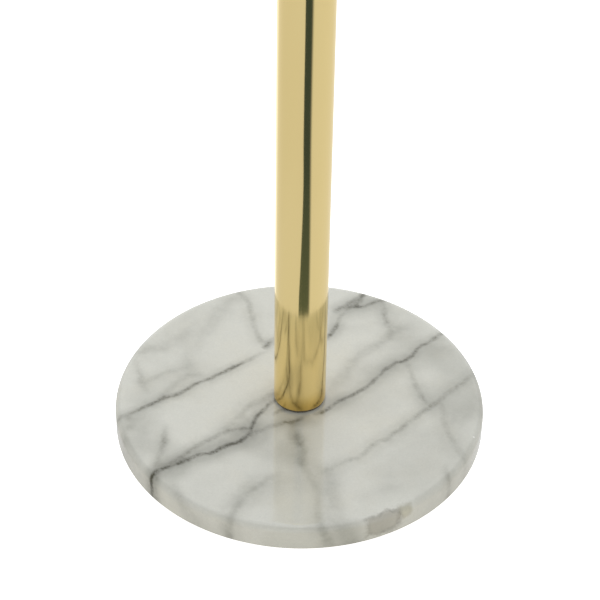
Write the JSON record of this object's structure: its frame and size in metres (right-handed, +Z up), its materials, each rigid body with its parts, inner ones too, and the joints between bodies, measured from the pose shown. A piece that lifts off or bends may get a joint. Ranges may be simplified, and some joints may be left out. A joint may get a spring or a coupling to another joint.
{
  "type": "paper towel holder",
  "caption": "Free-standing kitchen roll holder: an upright polished brass-coloured post bolted through a round veined marble base on anti-slip feet.",
  "frame": {"origin": "on the table, under the middle of the round base", "axes": "+Z up along the post's axis; the object is round about Z, so X and Y are free"},
  "size_m": [0.16, 0.16, 0.32],
  "materials": {
    "marble": "polished grey-veined white marble",
    "polished_brass": "polished brass plating on steel",
    "steel": "turned and zinc-plated",
    "foot_rubber": "matt moulded rubber",
    "gasket_fibre": "matt pressed fibre and rubber"
  },
  "bodies": {
    "root": {"marble_base": "marble", "post_tube": "polished_brass", "top_cap": "polished_brass", "bottom_insert": "steel", "top_insert": "steel", "base_bolt": "steel", "lock_washer": "steel", "clamp_washer": "steel", "cushion_washer": "gasket_fibre", "post_gasket": "gasket_fibre", "rubber_foot_1": "foot_rubber", "rubber_foot_2": "foot_rubber", "rubber_foot_3": "foot_rubber", "rubber_foot_4": "foot_rubber"}
  },
  "joints": []
}
